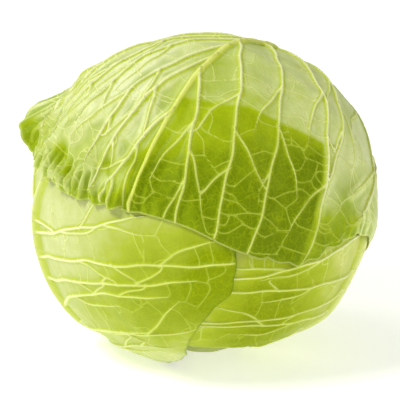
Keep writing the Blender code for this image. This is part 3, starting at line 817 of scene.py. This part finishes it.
# Half the width of a line's ridge, as a share of the line's width, how the ridge falls off, and
# the distance from the leaf's edge over which it grows.
RIDGE_SHARE = 0.46
MIDRIB_FALL = 1.2
VEIN_FALL = 2.0
RIDGE_FADE = 2.5
# The blade rises toward each kind of line, with a share for each, and sinks between them. Bumps
# are added, and the middle is the height that stays in place.
SHOULDERS = {"rib": 1.0, "vein": 1.0, "fork": 0.8, "twig": 0.15}
SHOULDER_WIDTH = 2.8
SHOULDER_RISE = 0.75
BUMP_RISE = 0.45
HILL_MIDDLE = 0.3
# How far a stored distance from a line may be too long, as a share of the line's width.
LINE_SLACK = {"rib": 0.1, "vein": 0.2, "fork": 0.26, "twig": 0.35}
# Bands beside each kind of line: where they come in and are full, as shares of the line's width, and
# how strong they are. The groove is outermost and is painted shade in the crease beside the line,
# then the bright flank, then the raised ridge.
GROOVE_SHADE_BANDS = {"rib": (0.85, 0.5, 0.4), "vein": (0.95, 0.6, 0.3), "fork": (1.0, 0.6, 0.25),
           "twig": (1.1, 0.5, 0.12)}
FLANKS = {"rib": (0.6, 0.4, 0.7), "vein": (0.75, 0.45, 0.75), "fork": (0.85, 0.5, 0.6),
          "twig": (0.9, 0.4, 0.2)}
RIDGES = {"vein": (0.5, 0.0, 1.0), "fork": (0.55, 0.0, 0.6), "twig": (0.7, 0.0, 0.2)}
VEIN_COLOUR = linear(218, 229, 116)
PALE_VEIN_COLOUR = linear(243, 246, 182)
TWIG_COLOUR = linear(200, 214, 80)
THREAD_COLOUR = linear(188, 205, 16)
BLOOM_AND_SHEEN_COLOUR = linear(234, 238, 196)


def flat_slab(name, rows, columns):
    """A closed square slab from -1 to 1, with four faces on its top for each one below."""
    bm = bmesh.new()
    bmesh.ops.create_grid(bm, x_segments=columns, y_segments=rows, size=1.0)
    grown = bmesh.ops.extrude_face_region(bm, geom=bm.faces[:], use_keep_orig=True)
    upper = [g for g in grown["geom"] if isinstance(g, bmesh.types.BMVert)]
    bmesh.ops.translate(bm, verts=upper, vec=(0, 0, 1))
    bmesh.ops.recalc_face_normals(bm, faces=bm.faces)
    top = [e for e in bm.edges if e.verts[0].co.z > 0.5 and e.verts[1].co.z > 0.5]
    bmesh.ops.subdivide_edges(bm, edges=top, cuts=1, use_grid_fill=True)
    return mesh_from(bm, name)


def laid_out(leaf, x, y, hub):
    """Directions from the head's centre for places on a unit disc that is spread over the leaf's
    outline. The disc's middle lies hub degrees from the leaf's, toward the leaf's base."""
    middle = leaf.place(np.array([hub]), np.array([180.0]))[0]
    tip = unit(leaf.tip * np.cos(np.radians(hub)) + leaf.middle * np.sin(np.radians(hub)))
    side = np.cross(tip, middle)
    bearings = np.arange(0, 360, 0.1)
    rim = leaf.place(leaf.margin(bearings), bearings)
    rim_bearing = np.degrees(np.arctan2(rim @ side, rim @ tip)) % 360
    order = np.argsort(rim_bearing)
    turn = np.arctan2(x, y)
    reach = np.interp(np.degrees(turn) % 360, rim_bearing[order],
                      np.arccos(np.clip(rim @ middle, -1, 1))[order], period=360)
    return laid_round(middle, tip, side, np.hypot(x, y) * reach, turn)


def leaf_sheet(name, leaf, below, tones, quilting, quilt_spots=(), rows=140, columns=140, hub=0.0,
               pleats=(), dents=()):
    """A blade as a fine closed sheet. It starts as a flat slab that is mapped onto the leaf's
    outline, and lies on the head and on the leaves below with its ribs, veins and quilting. A row
    of pleats holds two bearings, a spacing in degrees, a depth and how far in they reach."""
    mesh = flat_slab(name, rows, columns)
    slab = places_of(mesh)
    x = slab[:, 0] * np.sqrt(1 - slab[:, 1] ** 2 / 2)
    y = slab[:, 1] * np.sqrt(1 - slab[:, 0] ** 2 / 2)
    d = laid_out(leaf, x, y, hub)
    on_rim = np.hypot(x, y) > 0.9999
    away = np.where(on_rim, 0.0, np.abs(leaf.inside(d)))
    quilt = quilting + spots(d, quilt_spots)

    ridges, shoulder = np.zeros(len(d)), np.zeros(len(d))
    for order, (kind, share) in enumerate(SHOULDERS.items()):
        beside, width, ridge = leaf.beside(order, d)
        off = np.clip(np.abs(beside) / (width * RIDGE_SHARE), 0, 1)
        fall = MIDRIB_FALL if kind == "rib" else VEIN_FALL
        ridges = np.maximum(ridges, ridge * (1 - off * off) ** fall)
        shoulder = np.maximum(shoulder, share * np.exp(-(beside / SHOULDER_WIDTH) ** 2))
        store(mesh, kind + "_side", beside / width)
        store(mesh, kind, np.abs(beside) / width)
    bumps = np.clip(0.5 + 0.6 * clouds(d, 13.0) + 0.3 * clouds(d, 6.0, 3.0), 0, 1.2)
    hill = SHOULDER_RISE * shoulder + BUMP_RISE * bumps
    bearing = leaf.polar(d)[1]
    for start, end, spacing, depth, inward in pleats:
        fold = np.sin(np.radians(360 / spacing) * bearing + 1.5 * clouds(d, 9.0))
        hill += depth * fold * between(bearing, start, end) * smooth(1.3 - away / inward)

    lifted = leaf.lift(d, away)
    height = head_radius(d) + lifted + spots(d, dents)
    height = height + quilt * smooth(away / EDGE_FADE) * (hill - HILL_MIDDLE)
    for other in below:
        height += LAYER_STEP * smooth(1 + other.inside(d) / LAYER_FADE) + other.swell(d)
    if below:
        height -= PRESS * smooth(1 - away / PRESS_FADE) * smooth(1 - lifted / 1.5)
    blade = EDGE_BLADE + (BLADE - EDGE_BLADE) * smooth(away / EDGE_FADE)
    ridges *= (1 + 0.15 * quilt) * smooth(away / RIDGE_FADE)
    outer = slab[:, 2] > 0.5
    set_places(mesh, d * (height + outer * (blade + ridges))[:, None])

    store(mesh, "edge", np.minimum(away, 20.0))
    store(mesh, "tone", tones(d, away))
    store(mesh, "hill", hill)
    store(mesh, "quilt", quilt)
    return mesh


def on_line(wire, kind, start, end):
    """1 on the lines of a kind and 0 off them, between these shares of a line's width."""
    side = wire.maths("ABSOLUTE", wire.value(kind + "_side"))
    return wire.maths("MAXIMUM", side, wire.value(kind) - LINE_SLACK[kind]).step(start, end)


def on_lines(wire, bands):
    """The bands beside all kinds of line, added up."""
    return sum(on_line(wire, kind, start, end) * share for kind, (start, end, share) in bands.items())


def leaf_finish(name, pale, middle, deep, recess_shade, rib_colour, edge_colour, bump):
    """Waxy blade: pale to deep green with lighter veins, a fine net, painted shade in its hollows and
    grooves, and a thin edge line that is a painted shadow where its colour is dark.
    """
    finish, wire = new_finish(name, Metallic=0.0, Subsurface_Weight=0.05, Subsurface_Scale=0.002,
                              Subsurface_Radius=(0.6, 1.0, 0.2), Specular_IOR_Level=0.05,
                              Coat_Roughness=0.34)
    # The fine net in two sizes, pushed out of place by a noise so that no thread runs straight.
    push = wire.node("TexNoise", {}, {"Vector": wire.place(), "Scale": 140.0, "Detail": 3.0},
                     out="Color")
    pushed = wire.node("VectorMath", {"operation": "MULTIPLY_ADD"},
                       {0: push, 1: (0.006,) * 3, 2: wire.place()})
    net, fine = (wire.node("TexVoronoi", {"feature": "DISTANCE_TO_EDGE"},
                           {"Vector": pushed, "Scale": scale}) for scale in (230.0, 560.0))
    net, fine = net.step(0.06, 0.0), fine.step(0.12, 0.02)

    # The blade: from the white bloom, which pale tone spots also use for painted sheen and painted
    # bounce light, through pale and middle green to deep green.
    tone = wire.value("tone") + wire.cloud(24) * 0.3 - 0.15 + wire.cloud(9, 5.0) * 0.5 - 0.25
    colour = tone.ramp(-0.5, 0.0).blend(BLOOM_AND_SHEEN_COLOUR, pale)
    tone = tone.maths("ADD", tone, 0.0, clamp=True)
    colour = tone.ramp(0.0, 0.5).blend(colour, middle)
    colour = tone.ramp(0.5, 1.0).blend(colour, deep)

    # Painted shade in the hollows between the veins and in the grooves beside them, bright flanks,
    # and then the lines themselves.
    quilted = wire.value("quilt").step(0.4, 2.0)
    sunk = wire.value("hill").step(0.55, 0.12) * quilted * 0.8
    groove = on_lines(wire, GROOVE_SHADE_BANDS) * (tone * 0.5 + 0.5)
    flank = on_lines(wire, FLANKS) * (1 - tone * 0.85)
    colour = (sunk + groove).blend(colour, recess_shade)
    colour = (flank + net * 0.22 + fine * 0.1).blend(colour, THREAD_COLOUR)
    faint = wire.cloud(9).ramp(0.25, 0.6) * 0.45 + 0.55
    on_deep = tone.ramp(0.1, 0.7)
    vein_crest_and_highlight = on_deep.blend(PALE_VEIN_COLOUR, VEIN_COLOUR)
    thread = on_deep.blend(PALE_VEIN_COLOUR, TWIG_COLOUR)
    off_rib = 1 - on_line(wire, "rib", 0.42, 0.15)
    for strength, line_colour in (
            (on_line(wire, "twig", 0.46, 0.06) * 0.5 * faint, thread),
            (on_line(wire, "rib", 0.5, 0.15) * 0.95, rib_colour),
            (on_line(wire, "fork", 0.42, 0.08) * 0.8 * faint * off_rib, vein_crest_and_highlight),
            (on_line(wire, "vein", 0.4, 0.08) * 0.9 * off_rib, vein_crest_and_highlight),
            # The pale line along the rib's crest is a painted highlight.
            (on_line(wire, "rib", 0.24, 0.04) * 0.4, vein_crest_and_highlight),
            (wire.value("edge").step(1.1, 0.2) * 0.45, edge_colour)):
        colour = strength.blend(colour, line_colour)

    roughness = 0.46 - wire.value("vein").step(0.7, 0.2) * 0.06 + wire.cloud(8) * 0.14 - 0.07
    height = (on_lines(wire, RIDGES) + net * 0.1 + fine * 0.06 + wire.cloud(2.2) * 0.15
              + wire.cloud(5, 3.0) * 0.5)
    apply_finish(finish, colour, roughness, height, bump, **{"Coat Weight": (1 - tone) * 0.5})
    return finish


# Deeper and paler places of the blade: latitude, azimuth, spread and how much deeper.
RIGHT_TONES = [(-18, 296, 20, 0.8), (-46, 288, 26, 0.7), (-30, 350, 24, 0.3), (0, 60, 60, 0.5)]
right_mesh = leaf_sheet("right_leaf", right, [], lambda d, away: spots(d, RIGHT_TONES), quilting=0.6)
right_finish = leaf_finish(
    "right_leaf_blade", pale=linear(214, 217, 118), middle=linear(168, 184, 12),
    deep=linear(134, 150, 0), recess_shade=linear(140, 160, 20), rib_colour=linear(222, 228, 144),
    edge_colour=linear(222, 230, 130), bump=0.45)
finished_piece("right_leaf", right_mesh, right_finish, "leaf_right")

# ---------------------------------------------------------------------------------------------
# Left leaf
# The wrapper leaf on the head's left. It laps over the right leaf down the front, where its thin
# edge turns inward, and its yellowish midrib curves up the left side under the crown leaf.

# Deeper and paler places of the left leaf. The pale spot low down, at latitude -56, azimuth 262, is
# painted bounce light from the floor.
LEFT_TONES_AND_BOUNCE_LIGHT = [(0, 255, 20, 0.25), (-28, 250, 28, 0.6), (-56, 262, 16, -0.4), (-8, 280, 16, 1.1),
              (0, 215, 18, -0.2), (-30, 130, 60, 0.4), (-43, 237, 13, -0.25)]
left_mesh = leaf_sheet("left_leaf", left, [right], lambda d, away: 0.1 + spots(d, LEFT_TONES_AND_BOUNCE_LIGHT),
                       quilting=0.6)
# Its edge line is dark green: a painted shadow line along the thin edge where it lies on the right
# leaf.
left_finish = leaf_finish(
    "left_leaf_blade", pale=linear(207, 214, 142), middle=linear(170, 185, 44),
    deep=linear(134, 153, 0), recess_shade=linear(150, 170, 40), rib_colour=linear(200, 210, 104),
    edge_colour=linear(104, 130, 16), bump=0.45)
finished_piece("left_leaf", left_mesh, left_finish, "leaf_left")

# ---------------------------------------------------------------------------------------------
# Crown leaf
# The outermost leaf: it comes up the back from the stem, over the top and down the front. Its front
# is a deep olive green of its own, deepened in a crisp-edged patch by painted shade for the light
# that shows through the thin blade, and its left side is pale and quilted.

# Deeper and paler places of the crown leaf. The pale spot at latitude 58, azimuth 226 is a painted
# sheen highlight, and the last four spots are painted shade in the dents below.
CROWN_TONES_AND_PAINTED_LIGHT = [(12, 238, 26, 0.3), (24, 190, 12, 0.3), (10, 60, 55, 0.45), (52, 285, 22, 0.26),
               (-7, 343, 16, 0.05), (58, 226, 24, -0.3), (36, 256, 11, -0.25),
               (27, 223, 10, 0.15), (20, 232, 6, -0.2), (24.5, 209, 3.4, 0.6),
               (21, 216, 3.0, 0.45), (25, 235, 3.4, 0.4), (29, 245, 3.0, 0.3)]
# Hollows in the quilted side, and where the blade is quilted most.
CROWN_DENTS = [(24.5, 209, 3.4, -2.4), (21, 216, 3.0, -2.0), (25, 235, 3.2, -1.8),
               (31, 216, 3.5, -1.5), (34, 228, 4.0, -1.2), (13, 233, 3.0, -1.5),
               (29, 245, 3.2, -1.5)]
CROWN_QUILTING = [(26, 218, 36, 3.8), (12, 222, 14, 1.0), (20, 190, 20, 0.6), (0, 326, 16, 2.0),
                  (60, 60, 60, 0.5)]
CROWN_PLEATS = [(46, 92, 2.6, 0.3, 24), (346, 50, 3.4, 0.4, 14), (262, 300, 3.6, 0.3, 12)]
# The deep patch, own deep green with painted shade: two places on its upper edge. On its right it
# ends along a side vein.
DEEP_SHADE_PATCH_TOP = (50.3, 266), (32.7, 317)
DEEP_SHADE_PATCH_VEIN = 4


def past(d, places, softness):
    """1 on the right of the line from the first place to the second, 0 on its left."""
    a, b = (heading_to(*place) for place in places)
    off = d @ unit(np.cross(a, b)) * HALF_WIDTH + 1.2 * clouds(d, 12.0)
    return smooth(0.5 - off / softness)


def crown_tone(d, away):
    """How deep the green is. The patch is the leaf's own deep green with painted shade for the light
    through the thin blade; it has a sharp and a soft upper edge and deepens downward, and the low
    front is deep as well. So are the ruffle and the rib's sides, and the raised corner has painted
    shade for the inside of its curl."""
    off_rib = crown.beside(0, d)[0]
    latitude = latitude_of(d)
    bearing = crown.polar(d)[1]
    vein = crown.lines[DEEP_SHADE_PATCH_VEIN][0]
    _, i = nearest(tree_of(vein), d)
    onward = unit(np.gradient(vein, axis=0))[i]
    across = np.sum((d - vein[i]) * np.cross(onward, vein[i]), axis=1) * HALF_WIDTH
    # The patch: own deep green with painted shade for the light that shows through the thin blade.
    patch = 0.6 * past(d, DEEP_SHADE_PATCH_TOP, 3.0) + 0.4 * past(d, DEEP_SHADE_PATCH_TOP, 26.0)
    patch = patch * smooth(across / 4) * (0.45 + 0.58 * smooth((46 - latitude) / 30))
    front = 0.85 * smooth((-d[:, 1] - 0.4) / 0.3) * smooth((18 - latitude) / 18)
    ruffle = 0.3 * smooth(1 - away / 12) * between(bearing, 346, 30)
    # Painted shade: the edges of the raised corner and of the lobe beside it are deepened to stand
    # for the shaded inside of their curl.
    corner = between(bearing, 53, 68) + 0.6 * between(bearing, 84, 94)
    corner = 1.1 * smooth(1.2 - away / 7) * corner
    by_rib = 0.25 * np.exp(-(off_rib / 9) ** 2) * smooth((80 - latitude) / 10)
    return (spots(d, CROWN_TONES_AND_PAINTED_LIGHT) + smooth(0.6 - off_rib / 12) * np.maximum(patch, front)
            + ruffle + corner + by_rib)


crown_mesh = leaf_sheet("crown_leaf", crown, [right, left], crown_tone, quilting=0.5,
                        quilt_spots=CROWN_QUILTING, rows=150, columns=122, hub=15.0,
                        pleats=CROWN_PLEATS, dents=CROWN_DENTS)
crown_finish = leaf_finish(
    "crown_leaf_blade", pale=linear(218, 226, 154), middle=linear(164, 184, 0),
    deep=linear(108, 129, 0), recess_shade=linear(140, 163, 16), rib_colour=linear(224, 230, 108),
    edge_colour=linear(222, 230, 130), bump=0.6)
finished_piece("crown_leaf", crown_mesh, crown_finish, "leaf_crown")

# ---------------------------------------------------------------------------------------------
# Floor, camera and lights
# A plain pale floor under soft white light, with a large soft lamp high on the left. Lengths in
# this section are in metres, apart from the lens and its sensor.

FLOOR_HALF_SIZE = 6.0
FLOOR_COLOUR = (0.92, 0.92, 0.92, 1)
FLOOR_SHADE = (0.9, 0.9, 0.9, 1)
CAMERA_ELEVATION = math.radians(18.0)
CAMERA_DISTANCE = 1.150
CAMERA_LENS = 211.9
CAMERA_SENSOR = 36.0
AIM = Vector((-0.00195, 0.0, CENTRE_HEIGHT * METRES - 0.0005))
SKY_STRENGTH = 0.38

bm = bmesh.new()
bmesh.ops.create_grid(bm, x_segments=1, y_segments=1, size=FLOOR_HALF_SIZE)
floor_mesh = mesh_from(bm, "floor")
floor_finish, wire = new_finish("pale_floor", Metallic=0.0, Specular_IOR_Level=0.1,
                                Emission_Color=(1.0, 1.0, 1.0, 1.0), Emission_Strength=0.45)
apply_finish(floor_finish, wire.cloud(300).blend(FLOOR_SHADE, FLOOR_COLOUR),
             wire.cloud(50) * 0.1 + 0.8, wire.cloud(4), depth=0.01)
floor_mesh.materials.append(floor_finish)
floor = new_object("floor", floor_mesh)

back = Vector((0, -math.cos(CAMERA_ELEVATION), math.sin(CAMERA_ELEVATION)))
camera = new_object("camera", bpy.data.cameras.new("camera"))
camera.data.lens = CAMERA_LENS
camera.data.sensor_width = CAMERA_SENSOR
camera.location = AIM + back * CAMERA_DISTANCE
camera.rotation_euler = (-back).to_track_quat("-Z", "Y").to_euler()
bpy.context.scene.camera = camera


def soft_lamp(name, place, size, power):
    """A square lamp at a place, with its side and its watts, turned to the head."""
    lamp = new_object(name, bpy.data.lights.new(name, "AREA"))
    lamp.data.size, lamp.data.energy = size, power
    lamp.location = place
    lamp.rotation_euler = (AIM - Vector(place)).to_track_quat("-Z", "Y").to_euler()


soft_lamp("key", (-0.9, -0.6, 1.3), 0.5, 15.4)
soft_lamp("fill", (1.3, -0.8, 0.7), 1.2, 6.2)
soft_lamp("sheen", (-0.7, 0.6, 1.2), 0.6, 4.5)
world = bpy.data.worlds.new("studio")
world.use_nodes = True
sky = world.node_tree.nodes["Background"]
sky.inputs["Color"].default_value = (1, 1, 1, 1)
sky.inputs["Strength"].default_value = SKY_STRENGTH
bpy.context.scene.world = world
bpy.context.scene.view_settings.view_transform = "Standard"
